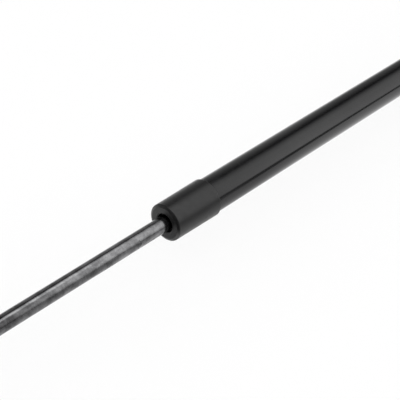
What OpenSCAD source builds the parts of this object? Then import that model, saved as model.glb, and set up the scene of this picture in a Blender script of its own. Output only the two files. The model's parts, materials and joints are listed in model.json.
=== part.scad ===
// Gas strut stay: a gas spring between two ball joints, each on its own screw-on plate.
// The mounting faces of both plates lie in the plane z = 0 and the strut runs along -X from the frame plate,
// whose stud stands on the origin. Lengths along the strut are measured from the centre of the frame ball.

/* [Strut] */
// Travel of the rod from extended to closed
stroke = 200; // [80:5:400]
// Height of the strut's axis above the mounting faces
axis_height = 20; // [19:0.5:30]
// Gap left between the rod's socket and the dust cap when closed
closed_gap = 3; // [1.5:0.5:10]

/* [Pressure tube] */
// Outside diameter of the tube
tube_d = 18.5; // [18:0.5:22]
// Wall of the tube
tube_wall = 1.25; // [1:0.05:1.6]
// Outside radius of the two rolled ends
end_round = 2; // [1.4:0.1:3]
// Clear diameter inside the rolled end on the rod side
lip_d = 10.4; // [9.6:0.2:12]
// Depth that each rolled bead is pressed in
bead_depth = 0.5; // [0.3:0.05:0.8]
// Radius of the wheel that rolls the beads
bead_r = 1.25; // [1:0.05:2]

/* [End plug] */
// Length of the plug inside the tube
plug_len = 6; // [5:0.5:10]
// Diameter of the boss that the socket seats on
boss_d = 12; // [10:0.5:13]
// Height of the boss beyond the tube
boss_out = 1.5; // [1:0.25:3]
// Thickness of the plug's sealing ring
plug_ring_d = 1.8; // [1.4:0.1:2.4]

/* [Dust cap] */
// Outside diameter of the cap at its open end
cap_d = 20.2; // [20:0.1:23]
// Amount that the cap's radius shrinks towards its front
cap_taper = 0.25; // [0:0.05:0.4]
// Length of the cap
cap_len = 29.5; // [28:0.5:40]
// Thickness of the cap's front wall
cap_front = 1.5; // [1:0.1:3]
// Diameter of the hole in the front wall
cap_hole_d = 9.8; // [9:0.1:12]
// Radius on the front edge of that hole
cap_hole_round = 1; // [0.2:0.1:1.2]
// Radius on the cap's front edge
cap_round = 1.1; // [0.4:0.1:1.4]

/* [Guide and seals] */
// Length of the wiper ring
wiper_len = 2; // [1.5:0.25:4]
// Length of the rod guide
guide_len = 8; // [6:0.5:14]
// Length of the rod seal
seal_len = 4.5; // [4:0.25:7]
// Thickness of the washer behind the seal
washer_t = 1.5; // [1:0.25:3]
// Clear diameter of that washer
washer_hole_d = 9; // [8.6:0.1:10]

/* [Rod and piston] */
// Diameter of the rod
rod_d = 8; // [7:0.25:8.5]
// Diameter of the tenon that carries the piston
tenon_d = 5.5; // [4.5:0.25:6]
// Outside diameter of the rebound collar
collar_d = 12; // [11:0.5:13]
// Length of the piston
piston_len = 8; // [7:0.5:14]
// Width of the piston ring
ring_w = 2.6; // [2:0.2:4]
// Radial thickness of the piston ring
ring_t = 1.6; // [1.2:0.1:2.2]
// Diameter of the orifices in the piston
orifice_d = 1.2; // [0.8:0.1:1.4]
// Number of orifices in the piston
orifice_count = 3; // [1:1:6]
// Outside diameter of the washer behind the piston
backing_d = 9.6; // [8.5:0.1:11]
// Thickness of the washer behind the piston
backing_t = 1.2; // [1:0.1:2]
// Diameter of the peened head on the rod
head_d = 7.6; // [7:0.1:8.4]
// Height of the peened head on the rod
head_len = 2; // [1.5:0.1:3]

/* [Ball sockets] */
// Distance from the ball's centre to the end of the socket's shank
socket_len = 26; // [24:0.5:36]
// Outside diameter of the cup around the ball
cup_d = 17; // [16:0.25:19]
// Depth of the cup's mouth below the ball's centre
mouth_depth = 6; // [5:0.25:7]
// Diameter of the socket's shank
shank_d = 12.5; // [11:0.25:14]
// Distance across the wrench flats on the shank
flats_w = 11; // [10.5:0.1:12]
// Length of the wrench flats
flats_len = 7; // [4:0.5:10]
// Length of thread engaged in each socket
thread_len = 14; // [10:0.5:16]

/* [Safety clips] */
// Diameter of the clip's wire
wire_d = 1.5; // [1.2:0.1:1.7]
// Reach of the clip's loop beyond the cup
clip_reach = 1; // [0.5:0.25:4]
// Length of the clip's legs beyond the cup
clip_tail = 1; // [0.5:0.25:2]

/* [Ball studs] */
// Diameter of the ball
ball_d = 10; // [9.5:0.1:10.5]
// Diameter of the stud's neck
neck_d = 5.6; // [5:0.1:5.8]
// Diameter of the stud's collar
stud_collar_d = 14; // [11:0.5:16]
// Thickness of the stud's collar
stud_collar_t = 3; // [2:0.25:4]
// Diameter of the shank riveted into the plate
rivet_d = 7; // [6:0.25:9]
// Diameter of the rivet's flared head
rivet_head_d = 9.4; // [9.2:0.1:11]
// Depth of the rivet's head below the mounting face
rivet_recess = 0.3; // [0.2:0.05:0.5]

/* [Mounting plates] */
// Width of a plate along the strut
plate_w = 28; // [24:1:32]
// Length of a plate across the strut
plate_l = 40; // [38:1:42]
// Thickness of a plate
plate_t = 3; // [2.5:0.25:4]
// Radius of the plate's corners
plate_round = 5; // [2:0.5:6]
// Spacing of the screw holes along the strut
hole_x = 16; // [14:0.5:18]
// Spacing of the screw holes across the strut
hole_y = 28; // [26:0.5:30]
// Diameter of the screw holes
hole_d = 4.5; // [4:0.25:5]
// Diameter of the countersinks
sink_d = 8; // [7:0.25:8.5]

/* [Clearances] */
// Radial gap of pieces that are pressed or screwed together
fit_gap = 0.02; // [0.01:0.01:0.04]
// Radial gap of pieces that slide or turn in one another
run_gap = 0.05; // [0.03:0.01:0.08]
// Gap between the rebound collar and its stop when extended
rest_gap = 0.3; // [0.1:0.05:0.6]
// Free length left behind the piston when closed
end_clear = 2; // [1:0.25:6]
// Free length between the piston and the beads
bead_clear = 1; // [0.5:0.25:3]

/* [Hidden] */
$fn = 96;

// Radii of the round pieces
tube_r = tube_d / 2;
bore_r = tube_r - tube_wall;
rod_r = rod_d / 2;
tenon_r = tenon_d / 2;
ball_r = ball_d / 2;
cup_r = cup_d / 2;
wire_r = wire_d / 2;
seat_r = ball_r + run_gap;
thread_r = rod_r;

// A bead keeps the tube's wall even, so its inner and outer arcs share one centre
bead_axis_r = tube_r + bead_r - bead_depth;
bead_out_r = bead_r + tube_wall;
bead_half = sqrt(pow(bead_out_r, 2) - pow(bead_axis_r - bore_r, 2));

// Places along the strut, from the frame ball towards the rod
collar_len = 2 * bead_half + bead_clear;
dead_len = max(2 * bead_half + bead_clear, head_len + backing_t + end_clear);
tube_s0 = socket_len + boss_out;
plug_s0 = tube_s0 + tube_wall;
plug_s1 = plug_s0 + plug_len;
piston_closed = plug_s1 + dead_len;
piston_s0 = piston_closed + stroke;
piston_s1 = piston_s0 + piston_len;
collar_s1 = piston_s1 + collar_len;
backing_s0 = piston_s0 - backing_t;
head_s0 = backing_s0 - head_len;
washer_s0 = collar_s1 + rest_gap;
seal_s0 = washer_s0 + washer_t;
guide_s0 = seal_s0 + seal_len;
wiper_s0 = guide_s0 + guide_len;
wiper_s1 = wiper_s0 + wiper_len;
tube_s1 = wiper_s1 + tube_wall;
plug_bead_s = plug_s1 + bead_half;
guide_bead_s = washer_s0 - bead_half;
cap_s1 = tube_s1 + cap_front;
cap_s0 = cap_s1 - cap_len;
rod_seat_s = cap_s1 + closed_gap + stroke;
rod_s1 = rod_seat_s + thread_len;
lid_s = rod_seat_s + socket_len;
ring_groove = ring_w + 2 * run_gap;

// The clip's legs pass just under the ball's widest part, so the ball cannot drop out
leg_x = neck_d / 2 + wire_r + (ball_r - neck_d / 2) / 2 + run_gap;
leg_z = -sqrt(pow(ball_r + wire_r + 2 * run_gap, 2) - pow(leg_x, 2));
leg_out = sqrt(pow(cup_r, 2) - pow(leg_x - wire_r, 2));

// Small rounds and chamfers
edge = 0.4;
cap_edge = 0.2;
mouth_chamfer = 0.8;
rod_chamfer = 1;
past = 1;

echo(extended_length = lid_s, closed_length = lid_s - stroke, tube_length = tube_s1 - tube_s0);

// Places a shape whose Z axis runs from the frame ball along the strut
module along_strut() translate([0, 0, axis_height]) rotate([0, -90, 0]) children();

// A round piece on the strut's axis, from a profile of radius against length
module turned() along_strut() rotate_extrude() children();

// A quarter disc in the first quadrant
module quarter(r) intersection() {
    circle(r);
    square(r);
}

// Half profile of a solid bar from length a to b, with its two outer corners rounded
module bar(r, a, b, round_a = 0, round_b = 0) {
    translate([0, a + round_a]) square([r, b - a - round_a - round_b]);
    if (round_a > 0) {
        translate([0, a]) square([r - round_a, round_a]);
        translate([r - round_a, a + round_a]) mirror([0, 1]) quarter(round_a);
    }
    if (round_b > 0) {
        translate([0, b - round_b]) square([r - round_b, round_b]);
        translate([r - round_b, b - round_b]) quarter(round_b);
    }
}

// Half profile of a sleeve or washer with all outer corners rounded alike
module sleeve(inner, outer, a, b, round = 0) difference() {
    bar(outer, a, b, round, round);
    translate([0, a - past]) square([inner, b - a + 2 * past]);
}

// Plan of a plate with rounded corners, centred
module rounded_plan(w, l, r) {
    square([w - 2 * r, l], center = true);
    for (side = [0, 1]) mirror([side, 0]) {
        translate([w / 2 - r, r - l / 2]) square([r, l - 2 * r]);
        for (end = [0, 1]) mirror([0, end]) translate([w / 2 - r, l / 2 - r]) quarter(r);
    }
}

// Mounting plate with four countersunk holes around the riveted stud
module plate_shape() difference() {
    linear_extrude(plate_t) rounded_plan(plate_w, plate_l, plate_round);
    for (x = [-1, 1], y = [-1, 1]) translate([x * hole_x / 2, y * hole_y / 2, 0]) {
        translate([0, 0, -past]) cylinder(d = hole_d, h = plate_t + 2 * past);
        translate([0, 0, plate_t - (sink_d - hole_d) / 2])
            cylinder(d1 = hole_d, d2 = sink_d + 2 * past, h = (sink_d - hole_d) / 2 + past);
    }
    rotate_extrude() rivet_profile(run_gap, -past);
}

// Profile of the stud's riveted shank, flared at the back of the plate down to the height low
module rivet_profile(gap, low) {
    r = rivet_d / 2 + gap;
    head_r = rivet_head_d / 2 + gap;
    flare_z = rivet_recess + head_r - r;
    top = gap > 0 ? plate_t + past : plate_t + stud_collar_t;
    polygon([[0, low], [head_r, low], [head_r, rivet_recess], [r, flare_z], [r, top], [0, top]]);
}

// Ball stud standing on the origin: ball, neck, collar and riveted shank in one turned piece
module stud_shape() rotate_extrude() {
    translate([0, axis_height]) intersection() {
        circle(ball_r);
        translate([0, -ball_r]) square([ball_r, ball_d]);
    }
    translate([0, plate_t]) square([neck_d / 2, axis_height - plate_t]);
    difference() {
        bar(stud_collar_d / 2, plate_t, plate_t + stud_collar_t, edge, edge);
        square([rivet_d / 4, plate_t + past]);
    }
    rivet_profile(0, rivet_recess);
}

// Ball socket about the ball's centre, with its mouth down and its shank along -X
module socket_shape() difference() {
    union() {
        rotate_extrude() {
            quarter(cup_r);
            bar(cup_r, -mouth_depth, 0, edge, 0);
        }
        rotate([0, -90, 0]) rotate_extrude() {
            bar(shank_d / 2, 0, socket_len, 0, edge);
            polygon([[0, 0], [cup_r - edge, 0], [shank_d / 2, cup_r + edge], [0, cup_r + edge]]);
        }
    }
    rotate_extrude() {
        quarter(seat_r);
        translate([0, -cup_r]) square([seat_r, cup_r]);
        polygon([[0, -cup_r], [seat_r + mouth_chamfer + cup_r - mouth_depth, -cup_r],
            [seat_r, mouth_chamfer - mouth_depth], [0, mouth_chamfer - mouth_depth]]);
    }
    rotate([0, -90, 0]) translate([0, 0, socket_len - thread_len])
        cylinder(r = thread_r + fit_gap, h = thread_len + past);
    for (side = [-1, 1]) {
        translate([-socket_len - past, side * (flats_w / 2 + past) - past, -shank_d])
            cube([flats_len + past, 2 * past, 2 * shank_d]);
        translate([side * leg_x, cup_d, leg_z]) rotate([90, 0, 0])
            cylinder(r = wire_r + run_gap, h = 2 * cup_d);
    }
}

// Safety clip about the ball's centre: two wire legs across the cup, joined by a loop towards -Y
module clip_shape() translate([0, 0, leg_z]) {
    loop_y = leg_out + clip_reach;
    for (side = [-1, 1]) translate([side * leg_x, leg_out + clip_tail, 0]) rotate([90, 0, 0])
        cylinder(r = wire_r, h = leg_out + clip_tail + loop_y);
    translate([0, -loop_y, 0]) rotate_extrude(angle = 180, start = 180) translate([leg_x, 0]) circle(wire_r);
}

// Places a piece that belongs to the ball on the lid
module at_lid() translate([-lid_s, 0, 0]) children();

module frame_plate() color("silver") plate_shape();

module frame_ball_stud() color("gainsboro") stud_shape();

module frame_socket() color("#202123") translate([0, 0, axis_height]) socket_shape();

module frame_clip() color("lightsteelblue") translate([0, 0, axis_height]) clip_shape();

// Tube with both ends rolled in and a bead inside each end
module pressure_tube() color("#17181a") turned() difference() {
    union() {
        difference() {
            bar(tube_r, tube_s0, tube_s1, end_round, end_round);
            bar(bore_r, plug_s0, wiper_s1, end_round - tube_wall, end_round - tube_wall);
            translate([0, tube_s0 - past]) square([boss_d / 2 + fit_gap, tube_wall + 2 * past]);
            translate([0, wiper_s1 - past]) square([lip_d / 2, tube_wall + 2 * past]);
        }
        for (s = [plug_bead_s, guide_bead_s]) intersection() {
            translate([bead_axis_r, s]) circle(bead_out_r);
            translate([0, s - bead_out_r]) square([tube_r, 2 * bead_out_r]);
        }
    }
    for (s = [plug_bead_s, guide_bead_s]) translate([bead_axis_r, s]) circle(bead_r);
}

// Plug that closes the tube, with the threaded stud that the frame socket screws onto
module end_plug() color("gray") turned() difference() {
    union() {
        bar(thread_r, socket_len - thread_len + edge, socket_len, edge, 0);
        bar(boss_d / 2, socket_len, plug_s0, edge, 0);
        bar(bore_r - fit_gap, plug_s0, plug_s1, end_round - tube_wall, edge);
    }
    translate([bore_r - plug_ring_d, plug_s0 + (plug_len - plug_ring_d) / 2 - fit_gap])
        square([plug_ring_d + past, plug_ring_d + 2 * fit_gap]);
}

// Round sealing ring in the plug's groove
module plug_seal_ring() color("#1c1c1c") turned()
    translate([bore_r - plug_ring_d / 2 - fit_gap / 2, plug_s0 + plug_len / 2]) circle(plug_ring_d / 2 - fit_gap / 2);

// Plastic cap over the rolled end of the tube
module dust_cap() color("#2b2c2e") turned() {
    cap_r = cap_d / 2;
    front_r = cap_r - cap_taper;
    hole_r = cap_hole_d / 2;
    lip_r = hole_r + cap_hole_round;
    difference() {
        union() {
            bar(cap_r, cap_s0, cap_s0 + 2 * cap_edge, cap_edge, 0);
            polygon([[0, cap_s0 + 2 * cap_edge], [cap_r, cap_s0 + 2 * cap_edge], [front_r, cap_s1 - cap_round],
                [0, cap_s1 - cap_round]]);
            translate([0, cap_s1 - cap_round]) square([front_r - cap_round, cap_round]);
            translate([front_r - cap_round, cap_s1 - cap_round]) quarter(cap_round);
        }
        bar(tube_r + fit_gap, cap_s0 - past, tube_s1, 0, end_round - tube_wall);
        translate([0, tube_s1 - past]) square([lip_r, cap_front + 2 * past]);
    }
    translate([hole_r, tube_s1]) square([cap_hole_round, cap_front - cap_hole_round]);
    translate([lip_r, cap_s1 - cap_hole_round]) mirror([1, 0]) quarter(cap_hole_round);
}

// Rubber wiper between the rolled end and the guide
module wiper_ring() color("#1c1c1c") turned() difference() {
    bar(bore_r - fit_gap, wiper_s0, wiper_s1, 0, end_round - tube_wall);
    translate([0, wiper_s0 - past]) square([rod_r + run_gap, wiper_len + 2 * past]);
}

// Bush that guides the rod
module rod_guide() color("tan") turned() sleeve(rod_r + run_gap, bore_r - fit_gap, guide_s0, wiper_s0, edge);

// Rubber seal with a lip on the rod and a lip on the tube, open towards the gas
module rod_seal() color("#1c1c1c") turned() {
    inner = rod_r + run_gap;
    outer = bore_r - fit_gap;
    middle = (inner + outer) / 2;
    third = seal_len / 3;
    polygon([[inner, guide_s0], [outer, guide_s0], [outer, seal_s0 + third], [outer - edge, seal_s0],
        [outer - 2 * edge, seal_s0], [middle, seal_s0 + 2 * third], [inner + 2 * edge, seal_s0],
        [inner + edge, seal_s0], [inner, seal_s0 + third]]);
}

// Washer that backs the seal and stops the piston
module seal_washer() color("gray") turned()
    sleeve(washer_hole_d / 2, bore_r - fit_gap, washer_s0, seal_s0, edge / 2);

// Rod from its peened head to the threaded end in the rod socket
module piston_rod() color("#8d8f92") turned() {
    bar(head_d / 2, head_s0, backing_s0, head_len / 2, 0);
    bar(tenon_r, backing_s0, collar_s1);
    bar(rod_r, collar_s1, rod_s1 - edge, 0, rod_chamfer);
}

// Collar that meets the washer when the rod is out
module rebound_collar() color("gray") turned() sleeve(tenon_r + fit_gap, collar_d / 2, piston_s1, collar_s1, edge);

// Piston with the groove for its ring and the orifices that slow the rod
module piston() color("darkgray") difference() {
    groove_s0 = (piston_s0 + piston_s1 - ring_groove) / 2;
    groove_r = bore_r - ring_t - 3 * run_gap;
    orifice_r = (bore_r + collar_d / 2) / 2;
    turned() difference() {
        sleeve(tenon_r + fit_gap, bore_r - 2 * run_gap, piston_s0, piston_s1, edge);
        translate([groove_r, groove_s0]) square([ring_t + past, ring_groove]);
    }
    for (i = [0:orifice_count - 1]) along_strut() rotate([0, 0, i * 360 / orifice_count])
        translate([orifice_r, 0, piston_s0 - past]) cylinder(d = orifice_d, h = piston_len + 2 * past);
}

// Ring that rubs in the bore
module piston_ring() color("saddlebrown") turned() {
    ring_s0 = (piston_s0 + piston_s1 - ring_w) / 2;
    sleeve(bore_r - run_gap - ring_t, bore_r - run_gap, ring_s0, ring_s0 + ring_w, edge / 2);
}

// Washer under the peened head
module piston_washer() color("gray") turned()
    sleeve(tenon_r + fit_gap, backing_d / 2, backing_s0, piston_s0, edge / 2);

module rod_socket() color("#202123") at_lid() translate([0, 0, axis_height]) rotate([0, 0, 180]) socket_shape();

module rod_clip() color("lightsteelblue") at_lid() translate([0, 0, axis_height]) clip_shape();

module lid_ball_stud() color("gainsboro") at_lid() stud_shape();

module lid_plate() color("silver") at_lid() plate_shape();

frame_plate();
frame_ball_stud();
frame_socket();
frame_clip();
pressure_tube();
end_plug();
plug_seal_ring();
dust_cap();
wiper_ring();
rod_guide();
rod_seal();
seal_washer();
piston_rod();
rebound_collar();
piston();
piston_ring();
piston_washer();
rod_socket();
rod_clip();
lid_ball_stud();
lid_plate();
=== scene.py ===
import json
import math

import bmesh
import bpy
from mathutils import Matrix, Vector


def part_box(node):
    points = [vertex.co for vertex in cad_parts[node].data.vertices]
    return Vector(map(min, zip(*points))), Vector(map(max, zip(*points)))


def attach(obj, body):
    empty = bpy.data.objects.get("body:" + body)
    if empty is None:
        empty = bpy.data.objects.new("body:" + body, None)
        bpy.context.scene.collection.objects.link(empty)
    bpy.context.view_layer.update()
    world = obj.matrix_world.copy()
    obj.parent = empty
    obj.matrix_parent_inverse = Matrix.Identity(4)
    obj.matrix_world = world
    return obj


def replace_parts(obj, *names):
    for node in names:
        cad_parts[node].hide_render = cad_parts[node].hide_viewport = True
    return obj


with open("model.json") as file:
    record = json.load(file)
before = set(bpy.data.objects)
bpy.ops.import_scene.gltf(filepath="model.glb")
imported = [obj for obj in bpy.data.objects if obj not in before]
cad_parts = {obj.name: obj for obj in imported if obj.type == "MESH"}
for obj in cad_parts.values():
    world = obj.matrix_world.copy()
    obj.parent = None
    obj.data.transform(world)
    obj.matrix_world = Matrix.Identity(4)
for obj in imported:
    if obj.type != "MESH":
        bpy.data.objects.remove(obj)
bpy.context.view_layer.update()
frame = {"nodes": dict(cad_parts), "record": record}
scene = bpy.context.scene
scene.view_settings.view_transform = "Standard"
mm = 0.001
tiny = 1e-9  # a smaller radius is a point on the axis

# the strut's axis and the pieces along it, read from the frame
tubeLow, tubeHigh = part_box("pressure_tube")
capLow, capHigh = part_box("dust_cap")
rodLow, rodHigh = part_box("piston_rod")
axisZ = (tubeLow.z + tubeHigh.z) / 2
tubeRadius = (tubeHigh.z - tubeLow.z) / 2
capRadius = (capHigh.z - capLow.z) / 2
rodRadius = (rodHigh.z - rodLow.z) / 2

# the two ends: the ball's x, the way the shank points, the nodes there and the body that carries them
ends = {
    "frame": {"x": 0.0, "way": -1, "socket": "frame_socket", "clip": "frame_clip", "carrier": "tube"},
    "lid": {"x": sum(c.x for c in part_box("lid_ball_stud")) / 2, "way": 1, "socket": "rod_socket",
            "clip": "rod_clip", "carrier": "rod"},
}
print("frame loaded, axis height", round(axisZ / mm, 2), "mm")


# camera: measured on the photograph's 400 x 400 pixels
photo = {
    "size": 400,
    "focal": 1200.0,  # focal length in pixels
    "axisVanish": (1544.1, -631.0),  # where the strut's edges would meet
    "capFront": (164.5, 223.28),  # centre of the cap's front face
    "capDepth": 0.577,  # from the camera to that point, along the view
    "sensor": 36.0,
    "clip": (0.01, 100.0),
}


def placeCamera():
    half, focal = photo["size"] / 2, photo["focal"]
    right, rise = photo["axisVanish"][0] - half, half - photo["axisVanish"][1]
    strutDir = Vector((right, rise, -focal)).normalized()  # row axes as the camera sees them
    upDir = Vector((0, focal, rise)).normalized()
    acrossDir = upDir.cross(strutDir)
    turn = Matrix((strutDir, acrossDir, upDir))
    u, v = photo["capFront"]
    seen = Vector(((u - half) / focal, (half - v) / focal, -1)) * photo["capDepth"]
    lens = bpy.data.cameras.new("camera")
    lens.sensor_width = photo["sensor"]
    lens.lens = photo["sensor"] * focal / photo["size"]
    lens.clip_start, lens.clip_end = photo["clip"]
    camera = bpy.data.objects.new("camera", lens)
    scene.collection.objects.link(camera)
    capFront = Vector((capLow.x, 0, axisZ))
    camera.matrix_world = Matrix.Translation(capFront - turn @ seen) @ turn.to_4x4()
    scene.camera = camera
    return camera


camera = placeCamera()
print("camera at", [round(c, 3) for c in camera.location])


# small helpers for meshes
def roundedPath(corners, closed=False, steps=6):
    # corners are (along, out, fillet radius); each fillet becomes an arc
    path = []
    for i, (along, out, fillet) in enumerate(corners):
        here = Vector((along, out))
        if fillet == 0 or (not closed and i in (0, len(corners) - 1)):
            path.append(here)
            continue
        back = (Vector(corners[i - 1][:2]) - here).normalized()
        ahead = (Vector(corners[(i + 1) % len(corners)][:2]) - here).normalized()
        halfAngle = back.angle(ahead) / 2
        centre = here + (back + ahead).normalized() * fillet / math.sin(halfAngle)
        first = here + back * fillet / math.tan(halfAngle) - centre
        sweep = math.pi - 2 * halfAngle
        if back.cross(ahead) > 0:
            sweep = -sweep
        for k in range(steps + 1):
            c, s = math.cos(sweep * k / steps), math.sin(sweep * k / steps)
            path.append(centre + Vector((c * first.x - s * first.y, s * first.x + c * first.y)))
    return path


def quarterTurn(steps):
    # (sine, cosine) from 0 to 90 degrees
    return [(math.sin(math.pi / 2 * k / steps), math.cos(math.pi / 2 * k / steps)) for k in range(steps + 1)]


def dome(centre, radius, steps):
    # corners of a half ball's profile, from its widest place to its top
    sides = [(centre + radius * s, radius * c, 0) for s, c in quarterTurn(steps)[:-1]]
    return sides + [(centre + radius, 0, 0)]


# places for turned shapes: along and out from an axis, and the angle round it
def aroundStrut(along, out, angle):
    return Vector((along, out * math.sin(angle), axisZ + out * math.cos(angle)))


def aroundStud(x, y=0.0):
    return lambda along, out, angle: Vector((x + out * math.cos(angle), y + out * math.sin(angle), along))


def aroundLeg(x, z):
    return lambda along, out, angle: Vector((x + out * math.cos(angle), along, z + out * math.sin(angle)))


def aroundWire(x, y, z, way):
    # across a wire that runs level in the direction (x, y) of way
    return lambda out, angle: Vector((x + out * way[1] * math.cos(angle), y - out * way[0] * math.cos(angle),
                                      z + out * math.sin(angle)))


def ringAt(bm, place, out, segments):
    # a ring of points, or one point repeated where it lies on the axis
    if out < tiny:
        return [bm.verts.new(place(0, 0))] * segments
    return [bm.verts.new(place(out, 2 * math.pi * k / segments)) for k in range(segments)]


def skin(bm, rings, closed=False):
    # faces between neighbouring rings, with three corners where a ring is one point
    for a, b in zip(rings, rings[1:] + rings[:1] if closed else rings[1:]):
        for k in range(len(a)):
            ahead = (k + 1) % len(a)
            quad = [a[k], a[ahead], b[ahead], b[k]]
            corners = [v for i, v in enumerate(quad) if v not in quad[:i]]
            if len(corners) > 2:
                bm.faces.new(corners)


def turnedPart(bm, path, segments, place, closed=False):
    # sweeps a profile of (along, out) round an axis; open profiles start and end on the axis
    rings = [ringAt(bm, lambda out, angle: place(point.x, out, angle), point.y, segments) for point in path]
    skin(bm, rings, closed)


def keepSharp(bm, sharpAngle):
    # smooth faces with the real edges kept crisp
    for face in bm.faces:
        face.smooth = True
    for edge in bm.edges:
        edge.smooth = edge.calc_face_angle(0) < math.radians(sharpAngle)


def meshObject(name, bm, sharpAngle=40):
    bmesh.ops.recalc_face_normals(bm, faces=bm.faces)
    keepSharp(bm, sharpAngle)
    mesh = bpy.data.meshes.new(name)
    bm.to_mesh(mesh)
    bm.free()
    made = bpy.data.objects.new(name, mesh)
    scene.collection.objects.link(made)
    return made


def evenNormals(made):
    # keeps long faces flat beside small fillets
    made.modifiers.new("evenNormals", "WEIGHTED_NORMAL").keep_sharp = True
    return made


def turned(name, path, segments, place=aroundStrut, closed=False):
    bm = bmesh.new()
    turnedPart(bm, path, segments, place, closed)
    return evenNormals(meshObject(name, bm))


def bakeModifiers(made):
    # the mesh with its modifiers applied, so that nothing else is needed to show it
    seen = made.evaluated_get(bpy.context.evaluated_depsgraph_get())
    mesh = bpy.data.meshes.new_from_object(seen)
    made.modifiers.clear()
    made.data = mesh


# small helpers for finishes
def setSockets(tree, node, sockets):
    # another node's socket is linked, a plain value is set
    for key, value in sockets.items():
        if isinstance(value, bpy.types.NodeSocket):
            tree.links.new(value, node.inputs[key])
        else:
            node.inputs[key].default_value = value


def wire(tree, kind, sockets, **settings):
    made = tree.nodes.new(kind)
    for key, value in settings.items():
        setattr(made, key, value)
    setSockets(tree, made, sockets)
    return made


def maths(tree, operation, *values):
    return wire(tree, "ShaderNodeMath", dict(enumerate(values)), operation=operation).outputs[0]


def newFinish(name, **sockets):
    finish = bpy.data.materials.new(name)
    finish.use_nodes = True
    shader = finish.node_tree.nodes["Principled BSDF"]
    setSockets(finish.node_tree, shader, sockets)
    return finish, finish.node_tree, shader


def pointOn(tree):
    # X, Y and Z of the point on the piece
    point = wire(tree, "ShaderNodeTexCoord", {}).outputs["Object"]
    return wire(tree, "ShaderNodeSeparateXYZ", {0: point}).outputs


def grainAt(tree, scale, stretch=(1, 1, 1), detail=3, rough=0.5):
    # noise fixed to the piece; scale is grains per metre, stretch makes it finer along an axis
    place = wire(tree, "ShaderNodeTexCoord", {})
    mapped = wire(tree, "ShaderNodeMapping", {"Vector": place.outputs["Object"], "Scale": stretch})
    noise = wire(tree, "ShaderNodeTexNoise", {"Vector": mapped.outputs[0], "Scale": scale, "Detail": detail,
                                              "Roughness": rough})
    return noise.outputs[0]


def spread(tree, source, low, high, fromLow=0.3, fromHigh=0.7):
    # noise to a range of values
    return wire(tree, "ShaderNodeMapRange", {"Value": source, "From Min": fromLow, "From Max": fromHigh,
                                             "To Min": low, "To Max": high}).outputs[0]


def tint(tree, source, dark, light):
    sockets = {"Factor": source, "A": (*dark, 1), "B": (*light, 1)}
    return wire(tree, "ShaderNodeMix", sockets, data_type="RGBA").outputs["Result"]


def blendOf(tree, share, first, second):
    return wire(tree, "ShaderNodeMix", {"Factor": share, "A": first, "B": second}).outputs["Result"]


def relief(tree, height, depth, strength=1.0, under=None):
    sockets = {"Height": height, "Distance": depth, "Strength": strength}
    if under is not None:
        sockets["Normal"] = under
    return wire(tree, "ShaderNodeBump", sockets).outputs[0]


# gloss black paint on the tube, with a slight ripple and specks of dust
def glossPaint():
    look = {"dark": (0.0045, 0.0045, 0.005), "light": (0.0075, 0.0075, 0.008), "clouds": 70,
            "roughness": (0.08, 0.15), "smears": 240, "peel": 900, "peelDepth": 0.002 * mm,
            "dust": 9000, "dustRange": (0.68, 0.8), "dustDepth": 0.004 * mm, "dustStrength": 0.4}
    finish, tree, shader = newFinish("glossBlackPaint", IOR=1.5)
    clouds = spread(tree, grainAt(tree, look["clouds"]), 0, 1)
    peel = relief(tree, grainAt(tree, look["peel"], detail=1), look["peelDepth"])
    dust = spread(tree, grainAt(tree, look["dust"], detail=2), 0, 1, *look["dustRange"])
    setSockets(tree, shader, {
        "Base Color": tint(tree, clouds, look["dark"], look["light"]),
        "Roughness": spread(tree, grainAt(tree, look["smears"], detail=5), *look["roughness"]),
        "Normal": relief(tree, dust, look["dustDepth"], look["dustStrength"], peel),
    })
    return finish


# satin moulded plastic: the cap and, a little rougher, the sockets
plastics = {
    "cap_plastic": {"name": "capPlastic", "dark": (0.003, 0.003, 0.0032), "light": (0.0055, 0.0055, 0.0058),
                    "roughness": 0.33, "grain": 0.004 * mm,
                    # flat front: x where it starts to get coarser, x where it is fully so, roughness added
                    "coarseEnd": (capLow.x + 0.12 * mm, capLow.x + 0.02 * mm, 0.14)},
    "socket_nylon": {"name": "socketNylon", "dark": (0.012, 0.012, 0.0125), "light": (0.02, 0.02, 0.0205),
                     "roughness": 0.46, "grain": 0.008 * mm},
}


def satinPlastic(name, dark, light, roughness, grain, coarseEnd=None):
    look = {"clouds": 130, "smears": 420, "uneven": 0.05, "fine": 5200, "waves": 700, "waveStrength": 0.5}
    finish, tree, shader = newFinish(name, IOR=1.54)
    clouds = spread(tree, grainAt(tree, look["clouds"], detail=4), 0, 1)
    rough = spread(tree, grainAt(tree, look["smears"], detail=4), roughness - look["uneven"],
                   roughness + look["uneven"])
    if coarseEnd:
        start, full, added = coarseEnd
        rough = maths(tree, "ADD", rough, spread(tree, pointOn(tree)["X"], added, 0, full, start))
    fine = relief(tree, grainAt(tree, look["fine"], detail=4, rough=0.6), grain)
    waves = grainAt(tree, look["waves"], detail=2)
    setSockets(tree, shader, {
        "Base Color": tint(tree, clouds, dark, light),
        "Roughness": rough,
        "Normal": relief(tree, waves, grain * 2, look["waveStrength"], fine),
    })
    return finish


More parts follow.
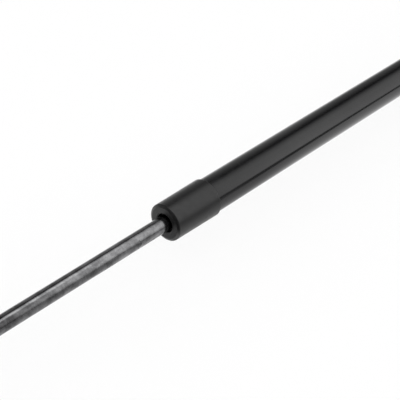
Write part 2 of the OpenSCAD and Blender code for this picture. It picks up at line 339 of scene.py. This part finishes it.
# dark ground steel of the rod, with rings left by grinding and faint clouds
def groundSteel():
    look = {"dark": (0.1, 0.1, 0.102), "light": (0.255, 0.255, 0.26), "clouds": (170, 220, 220),
            "cloudRange": (0.38, 0.62), "rings": (900, 40, 40), "ringShare": 0.22, "ringDepth": 0.003 * mm,
            "roughness": (0.12, 0.19)}
    finish, tree, shader = newFinish("groundRod", Metallic=1.0, Anisotropic=0.4)
    clouds = grainAt(tree, 1, look["clouds"], detail=5, rough=0.7)
    rings = grainAt(tree, 1, look["rings"])
    both = blendOf(tree, look["ringShare"], spread(tree, clouds, 0, 1, *look["cloudRange"]),
                   spread(tree, rings, 0, 1))
    setSockets(tree, shader, {
        "Base Color": tint(tree, both, look["dark"], look["light"]),
        "Roughness": spread(tree, clouds, *look["roughness"]),
        "Normal": relief(tree, rings, look["ringDepth"]),
        "Tangent": wire(tree, "ShaderNodeTangent", {}, direction_type="RADIAL", axis="X").outputs[0],
    })
    return finish


# bright metals of the end fittings and the pieces inside; marks are tool marks per metre along each axis
metals = {
    "zinc_plate": {"name": "zincPlate", "dark": (0.37, 0.385, 0.4), "light": (0.53, 0.54, 0.55),
                   "roughness": 0.4, "marks": (900, 900, 900), "depth": 0.004 * mm},
    "plated_stud": {"name": "platedStud", "dark": (0.52, 0.54, 0.56), "light": (0.68, 0.69, 0.7),
                    "roughness": 0.26, "marks": (90, 90, 5000), "depth": 0.003 * mm},
    "spring_wire": {"name": "springWire", "dark": (0.36, 0.36, 0.36), "light": (0.52, 0.52, 0.52),
                    "roughness": 0.28, "marks": (900, 900, 900), "depth": 0.003 * mm},
    "plain_steel": {"name": "turnedSteel", "dark": (0.38, 0.38, 0.38), "light": (0.52, 0.52, 0.52),
                    "roughness": 0.32, "marks": (5000, 90, 90), "depth": 0.004 * mm},
    "cast_alloy": {"name": "castAlloy", "dark": (0.5, 0.5, 0.5), "light": (0.62, 0.62, 0.62),
                   "roughness": 0.4, "marks": (2500, 600, 600), "depth": 0.006 * mm},
}


def plainMetal(name, dark, light, roughness, marks, depth):
    look = {"clouds": 160, "markShare": 0.5, "uneven": 0.07}
    finish, tree, shader = newFinish(name, Metallic=1.0)
    lines = grainAt(tree, 1, marks, detail=4, rough=0.6)
    clouds = grainAt(tree, look["clouds"], detail=4, rough=0.6)
    both = spread(tree, blendOf(tree, look["markShare"], clouds, lines), 0, 1)
    setSockets(tree, shader, {
        "Base Color": tint(tree, both, dark, light),
        "Roughness": spread(tree, clouds, roughness - look["uneven"], roughness + look["uneven"]),
        "Normal": relief(tree, lines, depth),
    })
    return finish


# rubber and the two inner plastics
polymers = {
    "rubber": {"name": "sealRubber", "dark": (0.01, 0.01, 0.01), "light": (0.018, 0.018, 0.018),
               "roughness": 0.62},
    "guide_acetal": {"name": "guideAcetal", "dark": (0.44, 0.35, 0.22), "light": (0.55, 0.45, 0.29),
                     "roughness": 0.4},
    "ring_plastic": {"name": "ringPlastic", "dark": (0.2, 0.1, 0.055), "light": (0.29, 0.155, 0.085),
                     "roughness": 0.45},
}


def softPolymer(name, dark, light, roughness):
    look = {"clouds": 500, "uneven": 0.06, "grain": 4000, "depth": 0.01 * mm}
    finish, tree, shader = newFinish(name, IOR=1.5)
    clouds = grainAt(tree, look["clouds"], detail=5, rough=0.6)
    setSockets(tree, shader, {
        "Base Color": tint(tree, spread(tree, clouds, 0, 1), dark, light),
        "Roughness": spread(tree, clouds, roughness - look["uneven"], roughness + look["uneven"]),
        "Normal": relief(tree, grainAt(tree, look["grain"]), look["depth"]),
    })
    return finish


finishes = {"gloss_black_paint": glossPaint(), "ground_rod": groundSteel()}
for makeFinish, looks in ((satinPlastic, plastics), (plainMetal, metals), (softPolymer, polymers)):
    for slotName, look in looks.items():
        finishes[slotName] = makeFinish(**look)
for part in frame["record"]["subparts"]:  # every node first gets its finish, shown or not
    nodeMesh = frame["nodes"][part["node"]].data
    nodeMesh.materials.clear()
    nodeMesh.materials.append(finishes[part["material_slot"]])
print("finishes made:", len(finishes))


def fitPiece(made, node, body, slot):
    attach(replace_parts(made, node), body)
    made.data.materials.clear()
    made.data.materials.append(finishes[slot])


# tube: rolled ends and two rolled beads, with the sheet's own soft bends
def tubePiece():
    look = {"wall": 1.25 * mm, "endRound": 2.0 * mm, "lip": 5.2 * mm, "bossHole": 6.02 * mm, "edge": 0.3 * mm,
            "beadDepth": 0.6 * mm, "beadHalf": 1.5 * mm, "beadRound": 1.0 * mm, "beadShoulder": 0.7 * mm,
            "plugBead": 8.75 * mm, "guideBead": 18.75 * mm, "filletSteps": 8, "segments": 192}
    rodEnd, plugEnd = tubeLow.x, tubeHigh.x
    bore = tubeRadius - look["wall"]

    def bead(x, radius, way):
        half = look["beadHalf"] * way
        return [(x - half, radius, look["beadShoulder"]), (x, radius - look["beadDepth"], look["beadRound"]),
                (x + half, radius, look["beadShoulder"])]

    guideX, plugX = rodEnd + look["guideBead"], plugEnd - look["plugBead"]
    rodInside, plugInside = rodEnd + look["wall"], plugEnd - look["wall"]
    insideRound = look["endRound"] - look["wall"]
    corners = [(rodEnd, look["lip"], look["edge"]), (rodEnd, tubeRadius, look["endRound"])]
    corners += bead(guideX, tubeRadius, 1) + bead(plugX, tubeRadius, 1)
    corners += [(plugEnd, tubeRadius, look["endRound"]), (plugEnd, look["bossHole"], look["edge"])]
    corners += [(plugInside, look["bossHole"], look["edge"]), (plugInside, bore, insideRound)]
    corners += bead(plugX, bore, -1) + bead(guideX, bore, -1)
    corners += [(rodInside, bore, insideRound), (rodInside, look["lip"], look["edge"])]
    path = roundedPath(corners, closed=True, steps=look["filletSteps"])
    return turned("tubeShell", path, look["segments"], closed=True)


fitPiece(tubePiece(), "pressure_tube", "tube", "gloss_black_paint")


# dust cap: thin sleeve that narrows a little, bevelled front wall with the rounded hole
def capPiece():
    look = {"taper": 0.25 * mm, "hole": 5.0 * mm, "holeRound": 0.6 * mm, "holeBack": 0.2 * mm,
            "bevelWide": 1.5 * mm, "bevelDeep": 0.65 * mm, "bevelRound": 0.5 * mm, "rearRound": 0.25 * mm,
            "front": 1.5 * mm, "innerRound": 0.75 * mm, "fit": 0.02 * mm, "filletSteps": 10, "segments": 192}
    inner = tubeRadius + look["fit"]
    frontRadius = capRadius - look["taper"]
    frontBack = capLow.x + look["front"]
    corners = [(capLow.x, look["hole"], look["holeRound"]),
               (capLow.x, frontRadius - look["bevelWide"], look["bevelRound"]),
               (capLow.x + look["bevelDeep"], frontRadius, look["bevelRound"]),
               (capHigh.x, capRadius, look["rearRound"]), (capHigh.x, inner, look["rearRound"]),
               (frontBack, inner, look["innerRound"]), (frontBack, look["hole"], look["holeBack"])]
    path = roundedPath(corners, closed=True, steps=look["filletSteps"])
    return turned("dustCap", path, look["segments"], closed=True)


fitPiece(capPiece(), "dust_cap", "tube", "cap_plastic")


# rod: ground length, chamfered thread end, tenon and peened head inside
def rodPiece():
    look = {"chamfer": 1.0 * mm, "edge": 0.15 * mm, "tenon": 2.75 * mm, "tenonLong": 13.2 * mm,
            "head": 3.8 * mm, "headLong": 2.0 * mm, "headRound": 1.0 * mm, "segments": 128}
    edge = look["edge"]
    headX = rodHigh.x - look["headLong"]
    shoulderX = headX - look["tenonLong"]
    corners = [(rodLow.x, 0, 0), (rodLow.x, rodRadius - look["chamfer"], edge),
               (rodLow.x + look["chamfer"], rodRadius, edge), (shoulderX, rodRadius, edge),
               (shoulderX, look["tenon"], edge), (headX, look["tenon"], edge), (headX, look["head"], edge),
               (rodHigh.x, look["head"], look["headRound"]), (rodHigh.x, 0, 0)]
    return turned("groundRod", roundedPath(corners), look["segments"])


fitPiece(rodPiece(), "piston_rod", "rod", "ground_rod")
print("strut pieces made")


# helpers for cut shapes
def addBoolean(made, operation, other):
    cut = made.modifiers.new("cut", "BOOLEAN")
    cut.operation, cut.solver, cut.object = operation, "EXACT", other


def cutAway(made, cutters):
    # takes the cutters out of a piece, one after another
    for cutter in cutters:
        addBoolean(made, "DIFFERENCE", cutter)
    bakeModifiers(made)
    for cutter in cutters:
        bpy.data.objects.remove(cutter)


def blockCutter(xs, ys, zs):
    bm = bmesh.new()
    bmesh.ops.create_cube(bm, size=1.0)
    for v in bm.verts:
        v.co = Vector((xs[v.co.x > 0], ys[v.co.y > 0], zs[v.co.z > 0]))
    return meshObject("cutter", bm)


def cleanCut(made, sharpAngle=35, smallest=0.002 * mm):
    # removes slivers left by the cuts, and keeps the edges crisp
    bm = bmesh.new()
    bm.from_mesh(made.data)
    bmesh.ops.dissolve_degenerate(bm, dist=smallest, edges=bm.edges)
    keepSharp(bm, sharpAngle)
    bm.to_mesh(made.data)
    bm.free()
    return evenNormals(made)


# plates: stamped outline with eased edges, countersunk holes and the riveted stud's seat
def platePiece(end):
    look = {"corner": 5.0 * mm, "cornerSteps": 12, "ease": 0.45 * mm, "easeSteps": 5,
            "acrossX": 8.0 * mm, "acrossY": 14.0 * mm, "hole": 2.25 * mm, "breakEdge": 0.15 * mm,
            "sink": 4.0 * mm, "sinkRound": 0.1 * mm, "holeSegments": 64,
            "rivet": 3.55 * mm, "rivetRound": 0.2 * mm, "rivetHead": 4.75 * mm, "recess": 0.3 * mm,
            "recessRound": 0.1 * mm, "seatSegments": 96,
            "past": 0.5 * mm}  # how far the cutters reach past the faces
    low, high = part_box(end + "_plate")
    x = ends[end]["x"]
    cornerX, cornerY = (high.x - low.x) / 2 - look["corner"], (high.y - low.y) / 2 - look["corner"]
    ease = quarterTurn(look["easeSteps"])
    levels = [(low.z + look["ease"] * (1 - s), look["ease"] * (1 - c)) for s, c in reversed(ease)]
    levels += [(high.z - look["ease"] * (1 - s), look["ease"] * (1 - c)) for s, c in ease]
    bm = bmesh.new()
    rings = []
    for z, inset in levels:
        out = look["corner"] - inset
        ring = []
        for quarter, (sx, sy) in enumerate(((1, 1), (-1, 1), (-1, -1), (1, -1))):
            for k in range(look["cornerSteps"] + 1):
                angle = math.pi / 2 * (quarter + k / look["cornerSteps"])
                ring.append(bm.verts.new((x + sx * cornerX + out * math.cos(angle),
                                          sy * cornerY + out * math.sin(angle), z)))
        rings.append(ring)
    skin(bm, rings)
    bm.faces.new(rings[0])
    bm.faces.new(rings[-1])
    plate = meshObject(end + "Plate", bm)
    below, above = low.z - look["past"], high.z + look["past"]
    hole = [(below, 0, 0), (below, look["hole"] + look["breakEdge"] + look["past"], 0),
            (low.z + look["breakEdge"], look["hole"], 0),
            (high.z - look["sink"] + look["hole"], look["hole"], look["sinkRound"]),
            (above, look["sink"] + look["past"], 0), (above, 0, 0)]
    recessTop = low.z + look["recess"]
    seat = [(below, 0, 0), (below, look["rivetHead"], 0), (recessTop, look["rivetHead"], look["recessRound"]),
            (recessTop + look["rivetHead"] - look["rivet"], look["rivet"], look["rivetRound"]),
            (above, look["rivet"], 0), (above, 0, 0)]
    cutters = []
    for sx in (-1, 1):
        for sy in (-1, 1):
            place = aroundStud(x + sx * look["acrossX"], sy * look["acrossY"])
            cutters.append(turned("cutter", roundedPath(hole), look["holeSegments"], place))
    cutters.append(turned("cutter", roundedPath(seat), look["seatSegments"], aroundStud(x)))
    cutAway(plate, cutters)
    return cleanCut(plate)


# ball studs: polished ball, waisted neck, collar and flared rivet
def studPiece(end):
    look = {"ball": 5.0 * mm, "ballSteps": 30, "neck": 2.8 * mm, "neckRound": 1.2 * mm, "neckTop": 0.3 * mm,
            "collar": 7.0 * mm, "collarLong": 3.0 * mm, "collarRound": 0.5 * mm,
            "rivet": 3.5 * mm, "rivetHead": 4.7 * mm, "edge": 0.25 * mm,
            "dimple": 0.9 * mm, "dimpleDeep": 0.3 * mm, "dimpleRound": 0.2 * mm, "segments": 128}
    low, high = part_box(end + "_ball_stud")
    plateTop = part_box(end + "_plate")[1].z
    collarTop = plateTop + look["collarLong"]
    centre = high.z - look["ball"]
    neckAngle = math.pi - math.asin(look["neck"] / look["ball"])  # from the ball's top to the neck
    corners = [(low.z + look["dimpleDeep"], 0, 0), (low.z, look["dimple"], look["dimpleRound"]),
               (low.z, look["rivetHead"], look["edge"]),
               (low.z + look["rivetHead"] - look["rivet"], look["rivet"], look["edge"]),
               (plateTop, look["rivet"], 0), (plateTop, look["collar"], look["collarRound"]),
               (collarTop, look["collar"], look["collarRound"]), (collarTop, look["neck"], look["neckRound"]),
               (centre + look["ball"] * math.cos(neckAngle), look["neck"], look["neckTop"])]
    for k in range(1, look["ballSteps"]):
        angle = neckAngle * (1 - k / look["ballSteps"])
        corners.append((centre + look["ball"] * math.cos(angle), look["ball"] * math.sin(angle), 0))
    corners.append((high.z, 0, 0))
    return turned(end + "BallStud", roundedPath(corners), look["segments"], aroundStud(ends[end]["x"]))


def clipSizes(end):
    # the wire's radius, half the distance between the legs, and the legs' height
    low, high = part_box(ends[end]["clip"])
    wireRadius = (high.z - low.z) / 2
    return wireRadius, (high.x - low.x) / 2 - wireRadius, (high.z + low.z) / 2


# ball sockets: moulded cup and shank run into one another, with the seat, thread and clip holes cut in
def socketPiece(end):
    look = {"cup": 8.5 * mm, "cupSteps": 14, "mouth": 6.0 * mm, "edge": 0.6 * mm, "segments": 96,
            "rootStep": 0.6 * mm, "rootLong": 1.4 * mm, "rootRound": 1.0 * mm, "shank": 6.25 * mm,
            "flats": 11.0 * mm, "flatsLong": 7.0 * mm,
            "grain": 0.28 * mm, "soften": 0.5, "rounds": 6,  # how cup and shank run together
            "seat": 5.05 * mm, "seatSteps": 16, "seatRound": 0.3 * mm, "mouthFlare": 0.8 * mm,
            "thread": 4.02 * mm, "threadLong": 14.0 * mm, "threadRound": 0.3 * mm, "threadMouth": 0.4 * mm,
            "threadSegments": 64, "clipHole": 0.8 * mm, "clipSegments": 32,
            "past": 1.0 * mm}  # how far the cutters reach past the faces
    x, way = ends[end]["x"], ends[end]["way"]
    low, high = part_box(ends[end]["socket"])
    long = high.x - low.x - look["cup"]  # from the ball's centre to the shank's end
    bottom = axisZ - look["mouth"]

    def shankX(along):
        return x + way * along

    cup = [(bottom, 0, 0), (bottom, look["cup"], look["edge"])] + dome(axisZ, look["cup"], look["cupSteps"])
    shank = [(x, 0, 0), (x, look["cup"] - look["rootStep"], 0),
             (shankX(look["cup"] + look["rootLong"]), look["shank"], look["rootRound"]),
             (shankX(long), look["shank"], look["edge"]), (shankX(long), 0, 0)]
    halves = []
    for profile, place in ((cup, aroundStud(x)), (shank, aroundStrut)):
        bm = bmesh.new()
        turnedPart(bm, roundedPath(profile), look["segments"], place)
        halves.append(meshObject(end + "Socket", bm))
    body, arm = halves
    addBoolean(body, "UNION", arm)
    bakeModifiers(body)
    bpy.data.objects.remove(arm)

    flatsX = sorted((shankX(long - look["flatsLong"]), shankX(long + look["past"])))
    flatsZ = (axisZ - look["cup"], axisZ + look["cup"])
    cutAway(body, [blockCutter(flatsX, sorted((side * look["flats"] / 2, side * 2 * look["shank"])), flatsZ)
                   for side in (-1, 1)])
    melt = body.modifiers.new("melt", "REMESH")
    melt.mode, melt.voxel_size = "VOXEL", look["grain"]
    soften = body.modifiers.new("soften", "SMOOTH")
    soften.factor, soften.iterations = look["soften"], look["rounds"]
    bakeModifiers(body)

    below = bottom - look["past"]
    seat = [(below, 0, 0), (below, look["seat"] + look["mouthFlare"] + look["past"], 0),
            (bottom + look["mouthFlare"], look["seat"], look["seatRound"])]
    seat += dome(axisZ, look["seat"], look["seatSteps"])
    threadEnd, outside = shankX(long - look["threadLong"]), shankX(long + look["past"])
    bore = [(threadEnd, 0, 0), (threadEnd, look["thread"], look["threadRound"]),
            (shankX(long - look["threadMouth"]), look["thread"], 0),
            (outside, look["thread"] + look["threadMouth"] + look["past"], 0), (outside, 0, 0)]
    cutters = [turned("cutter", roundedPath(seat), look["segments"], aroundStud(x)),
               turned("cutter", roundedPath(bore), look["threadSegments"])]
    legX, legZ = clipSizes(end)[1:]
    reach = 2 * look["cup"]
    hole = [(-reach, 0, 0), (-reach, look["clipHole"], 0), (reach, look["clipHole"], 0), (reach, 0, 0)]
    for side in (-1, 1):
        place = aroundLeg(x + side * legX, legZ)
        cutters.append(turned("cutter", roundedPath(hole), look["clipSegments"], place))
    cutAway(body, cutters)
    return cleanCut(body)


# safety clips: one bent wire with rounded tips
def clipPiece(end):
    look = {"round": 20, "bendSteps": 36, "tipSteps": 5}
    low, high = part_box(ends[end]["clip"])
    wireRadius, legX, legZ = clipSizes(end)
    x = ends[end]["x"]
    loopY, tailY = low.y + wireRadius + legX, high.y - wireRadius
    # the wire's middle as (x, y, direction, radius): a leg's tip, half a turn and the other leg's tip
    tip = quarterTurn(look["tipSteps"])
    line = [(legX, tailY + wireRadius * s, (0, -1), wireRadius * c) for s, c in reversed(tip)]
    for k in range(look["bendSteps"] + 1):
        c, s = math.cos(math.pi * k / look["bendSteps"]), math.sin(math.pi * k / look["bendSteps"])
        line.append((legX * c, loopY - legX * s, (-s, -c), wireRadius))
    line += [(-legX, tailY + wireRadius * s, (0, 1), wireRadius * c) for s, c in tip]
    bm = bmesh.new()
    rings = []
    for px, py, way, radius in line:
        rings.append(ringAt(bm, aroundWire(x + px, py, legZ, way), radius, look["round"]))
    skin(bm, rings)
    return meshObject(end + "Clip", bm)


for end, at in ends.items():
    fitPiece(platePiece(end), end + "_plate", end + "_plate", "zinc_plate")
    fitPiece(studPiece(end), end + "_ball_stud", end + "_stud", "plated_stud")
    fitPiece(socketPiece(end), at["socket"], at["carrier"], "socket_nylon")
    fitPiece(clipPiece(end), at["clip"], at["carrier"], "spring_wire")
print("end fittings made")


# stage: a pale floor in a dim room, with softboxes and reflection cards along the strut
studio = {
    "floorSize": 14.0,
    # share of the white world seen through the floor, by distance from the strut:
    # a strut tilted below it still shows
    "floorClear": ((0.03, 0.92), (0.1, 0.99)),
    "paper": 0.92,
    "fill": 1.08,  # soft light from all round
    "room": {"radius": 6.0, "level": 0.035, "steps": 24, "segments": 48},
    "cardAway": 3.0,  # from the strut's axis
    "cardFacet": 3,  # degrees
    "lampFrom": 0.1,  # a dimmer glow isn't sampled as a lamp
}
white = (1, 1, 1, 1)

# cards along the strut: (angle, level) pairs round it, and (x, share) pairs along it
cards = {
    "backdropRod": {
        "along": (-7.0, 1.75), "shares": ((0.9, 0.6), (1.2, 0.65), (1.5, 1.0)),
        "levels": ((-89, 0.6), (-70, 0.5), (-46, 0.45), (-40, 0.32), (-36, 0.13))},
    "backdropCap": {
        "along": (1.75, 2.12),
        "levels": ((-89, 0.5), (-70, 0.42), (-60, 0.3), (-36, 0.16))},
    "backdropTube": {
        "along": (2.12, 7.0), "shares": ((2.29, 0.88), (2.58, 1.02), (2.9, 0.64)),
        "levels": ((-89, 0.6), (-60, 0.45), (-45, 0.36), (-36, 0.24), (-27, 0.13), (-19, 0.03))},
    "strip": {
        "away": 2.9, "along": (0.8, 1.6), "shares": ((1.1, 1.0), (1.3, 0.7), (1.5, 0.1), (1.6, 0.0)),
        "levels": ((-20, 0.0), (-8, 1.7), (8, 1.7), (18, 0.0)), "clear": True},
    "topPanel": {
        "along": (-6.0, -0.9),
        "levels": ((-60, 0.3), (-32, 0.5), (-24, 0.9), (4, 1.1), (14, 0.9), (24, 0.5), (60, 0.42), (88, 0.3))},
}

# softboxes, given in the same way
softboxes = {
    "sideboxRod": {
        "along": (-0.9, 1.75), "shares": ((-0.9, 0.5), (0.4, 0.6), (0.75, 0.1), (0.9, 0.1), (1.1, 0.28),
                                          (1.2, 0.4), (1.4, 0.9), (1.55, 1.0)),
        "levels": ((-28, 0.13), (-20, 0.9), (-8, 1.65), (2, 1.85), (56, 1.85), (72, 1.35), (88, 0.5))},
    "sideboxCap": {
        "along": (1.75, 2.12),
        "levels": ((-36, 0.16), (-25, 0.3), (-14, 0.55), (-1, 0.93), (11, 1.18), (29, 1.3), (46, 1.32),
                   (69, 1.09), (81, 0.93), (88, 0.65))},
    "softbox": {
        "along": (2.12, 6.0), "shares": ((2.29, 0.83), (2.58, 1.04), (2.9, 0.87)),
        "levels": ((-19, 0.03), (-11.5, 0.22), (-4, 0.5), (3, 0.8), (12, 1.08), (26, 1.4), (60, 1.58),
                   (86, 1.6), (90, 0.8))},
}

# dim strips just above the floor, in front of the strut, behind it and under the tube, seen only in
# reflections:
# painted shade on the floor, with some patches brighter than the white floor as painted light; the near edge
# as (x, y) pairs, the level by distance from the strut, and (x, share) pairs along it, leaning by skew
floorShades = {
    "frontShade": {
        "side": -1, "high": 0.2 * mm, "far": 1.3,
        "near": ((-1.0, -0.012), (-0.312, -0.012), (-0.302, 0.0), (-0.28, 0.0), (-0.25, 0.03), (-0.19, 0.066),
                 (0.0, 0.115), (4.0, 0.115)),
        "levels": ((0.0, 0.95), (0.012, 0.83), (0.024, 0.66), (0.044, 0.53), (0.1, 0.44), (1.3, 0.42)),
        "skew": 0.55,
        "shares": ((-0.47, 0.6), (-0.44, 0.08), (-0.41, 0.08), (-0.398, 1.0), (-0.302, 1.0), (-0.287, 1.6),
                   (-0.272, 1.6), (-0.264, 1.0), (-0.22, 1.0), (-0.19, 0.5))},
    # painted shadow of the strut on the floor behind it: darker close to the strut, brighter than white
    # further out
    "rearShade": {
        "side": 1, "high": 0.2 * mm, "far": 1.3,
        "near": ((-1.0, 0.012), (-0.312, 0.012), (-0.302, 0.0), (-0.28, 0.0)),
        "levels": ((0.0, 0.3), (0.008, 0.42), (0.014, 0.62), (0.03, 1.15), (0.05, 1.3)),
        "skew": 0.0,
        "shares": ((-0.5, 0.1), (-0.36, 0.3), (-0.31, 0.75), (-0.297, 1.0))},
    # painted shade and painted light on the floor under the tube, by place along it
    "tubeShade": {
        "side": -1, "high": 0.1 * mm, "far": 0.14,
        "near": ((-0.28, -0.012), (0.3, -0.012)),
        "levels": ((0.0, 1.0), (0.1, 1.0)),
        "skew": 0.83,
        "shares": ((-0.29, 0.95), (-0.275, 0.8), (-0.215, 0.82), (-0.17, 1.15), (-0.12, 1.22))},
}

# small upright card under the rod, dark towards the cap and bright towards the rod
footCard = {
    "x": -0.29, "gap": 0.2 * mm, "dark": 0.01,
    "outline": ((-0.018, 0.0), (0.003, 0.0), (0.003, 0.0155), (-0.0047, 0.0155), (-0.0047, 0.0235),
                (-0.014, 0.0235), (-0.018, 0.014)),
    "levels": ((70, 0.9), (84, 0.5), (94, 0.44), (102, 0.6), (116, 0.85), (135, 0.95)),
}


def whiteRays(tree):
    # rays that see the white background
    path = wire(tree, "ShaderNodeLightPath", {}).outputs
    seen = maths(tree, "MAXIMUM", path["Is Camera Ray"], path["Is Glossy Ray"])
    return maths(tree, "MAXIMUM", seen, path["Is Transmission Ray"])


def levelsAlong(tree, value, levels):
    # changes evenly from one (value, level) to the next
    total = None
    for (a, low), (b, top) in zip(levels, levels[1:]):
        if total is None:
            total = spread(tree, value, low, top, a, b)
        else:
            total = maths(tree, "ADD", total, spread(tree, value, 0, top - low, a, b))
    return total


def angleLevels(tree, point, levels):
    # level by the angle round the strut, from straight up towards the camera's side
    high = maths(tree, "SUBTRACT", point["Z"], axisZ)
    near = maths(tree, "MULTIPLY", point["Y"], -1.0)
    angle = maths(tree, "ARCTAN2", near, high)
    return levelsAlong(tree, angle, [(math.radians(a), level) for a, level in levels])


def emptyTree(owner):
    owner.use_nodes = True
    owner.node_tree.nodes.clear()
    return owner.node_tree


def makeWorld():
    scene.world = bpy.data.worlds.new("studioWorld")
    tree = emptyTree(scene.world)
    fill = wire(tree, "ShaderNodeBackground", {"Color": white, "Strength": studio["fill"]})
    plain = wire(tree, "ShaderNodeBackground", {"Color": white, "Strength": 1.0})
    both = wire(tree, "ShaderNodeMixShader", {0: whiteRays(tree), 1: fill.outputs[0], 2: plain.outputs[0]})
    wire(tree, "ShaderNodeOutputWorld", {"Surface": both.outputs[0]})


def flatCard(name, outline):
    bm = bmesh.new()
    bm.faces.new([bm.verts.new(corner) for corner in outline])
    return meshObject(name, bm)


def ribbonCard(name, rows):
    # faces between rows of two points
    bm = bmesh.new()
    rows = [[bm.verts.new(point) for point in row] for row in rows]
    for a, b in zip(rows, rows[1:]):
        bm.faces.new([a[0], a[1], b[1], b[0]])
    return meshObject(name, bm)


def makeFloor():
    half = studio["floorSize"] / 2
    floor = flatCard("floor", [(x * half, y * half, 0) for x, y in ((-1, -1), (1, -1), (1, 1), (-1, 1))])
    finish = bpy.data.materials.new("floorPale")
    tree = emptyTree(finish)
    paper = wire(tree, "ShaderNodeBsdfDiffuse", {"Color": (studio["paper"],) * 3 + (1,)})
    clear = wire(tree, "ShaderNodeBsdfTransparent", {})
    aside = maths(tree, "ABSOLUTE", pointOn(tree)["Y"])
    share = maths(tree, "MULTIPLY", whiteRays(tree), levelsAlong(tree, aside, studio["floorClear"]))
    both = wire(tree, "ShaderNodeMixShader", {0: share, 1: paper.outputs[0], 2: clear.outputs[0]})
    wire(tree, "ShaderNodeOutputMaterial", {"Surface": both.outputs[0]})
    floor.data.materials.append(finish)


def stageCard(card):
    # seen only in reflections
    for ray in ("camera", "diffuse", "shadow", "transmission", "volume_scatter"):
        setattr(card, "visible_" + ray, False)


def glowFinish(name, level=1.0, clear=False):
    # plain glow; a clear one adds its light to what lies behind it
    finish = bpy.data.materials.new(name)
    tree = emptyTree(finish)
    glow = wire(tree, "ShaderNodeEmission", {"Color": white, "Strength": level})
    shader = glow.outputs[0]
    if clear:
        behind = wire(tree, "ShaderNodeBsdfTransparent", {})
        shader = wire(tree, "ShaderNodeAddShader", {0: shader, 1: behind.outputs[0]}).outputs[0]
    wire(tree, "ShaderNodeOutputMaterial", {"Surface": shader})
    finish.cycles.emission_sampling = "NONE" if level < studio["lampFrom"] else "AUTO"
    return finish, tree, glow.inputs["Strength"]


def glowByAngle(name, along, levels, shares=None, away=studio["cardAway"], clear=False):
    # curved card along the strut
    first, last = levels[0][0], levels[-1][0]
    steps = max(2, round((last - first) / studio["cardFacet"]))
    angles = [math.radians(first + (last - first) * k / steps) for k in range(steps + 1)]
    rows = [[(x, -away * math.sin(a), axisZ + away * math.cos(a)) for x in along] for a in angles]
    card = ribbonCard(name, rows)
    finish, tree, strength = glowFinish(name + "Glow", clear=clear)
    point = pointOn(tree)
    level = angleLevels(tree, point, levels)
    if shares:
        level = maths(tree, "MULTIPLY", level, levelsAlong(tree, point["X"], shares))
    tree.links.new(level, strength)
    card.data.materials.append(finish)
    return card


def makeRoom():
    # dim half ball round the stage
    look = studio["room"]
    bm = bmesh.new()
    path = [Vector((look["radius"] * s, look["radius"] * c)) for s, c in quarterTurn(look["steps"])]
    turnedPart(bm, path, look["segments"], aroundStud(capLow.x))
    room = meshObject("room", bm)
    room.data.materials.append(glowFinish("roomDim", look["level"])[0])
    stageCard(room)


def makeFloorShade(name, side, high, far, near, levels, skew, shares):
    rows = [[(x, side * y, high) for y in (edge, far)] for x, edge in near]
    shade = ribbonCard(name, rows)
    finish, tree, strength = glowFinish(name + "Dim")
    point = pointOn(tree)
    out = maths(tree, "MULTIPLY", point["Y"], side)
    lean = maths(tree, "MULTIPLY_ADD", out, -skew, point["X"])
    # painted shade and painted light: the level by distance from the strut times the share along it
    level = maths(tree, "MULTIPLY", levelsAlong(tree, out, levels), levelsAlong(tree, lean, shares))
    tree.links.new(level, strength)
    shade.data.materials.append(finish)
    stageCard(shade)


def makeFootCard(x, gap, dark, outline, levels):
    darkSide = glowFinish("footCardDark", dark)[0]
    brightSide, tree, strength = glowFinish("footCardBright")
    tree.links.new(angleLevels(tree, pointOn(tree), levels), strength)
    for name, at, finish in (("footCardCap", x, darkSide), ("footCardRod", x - gap, brightSide)):
        card = flatCard(name, [(at, y, z) for y, z in outline])
        card.data.materials.append(finish)
        stageCard(card)


makeWorld()
makeFloor()
makeRoom()
makeFootCard(**footCard)
for name, look in floorShades.items():
    makeFloorShade(name, **look)
for name, look in cards.items():
    stageCard(glowByAngle(name, **look))
for name, look in softboxes.items():
    lamp = glowByAngle(name, **look)
    lamp.visible_camera = False
print("stage made")
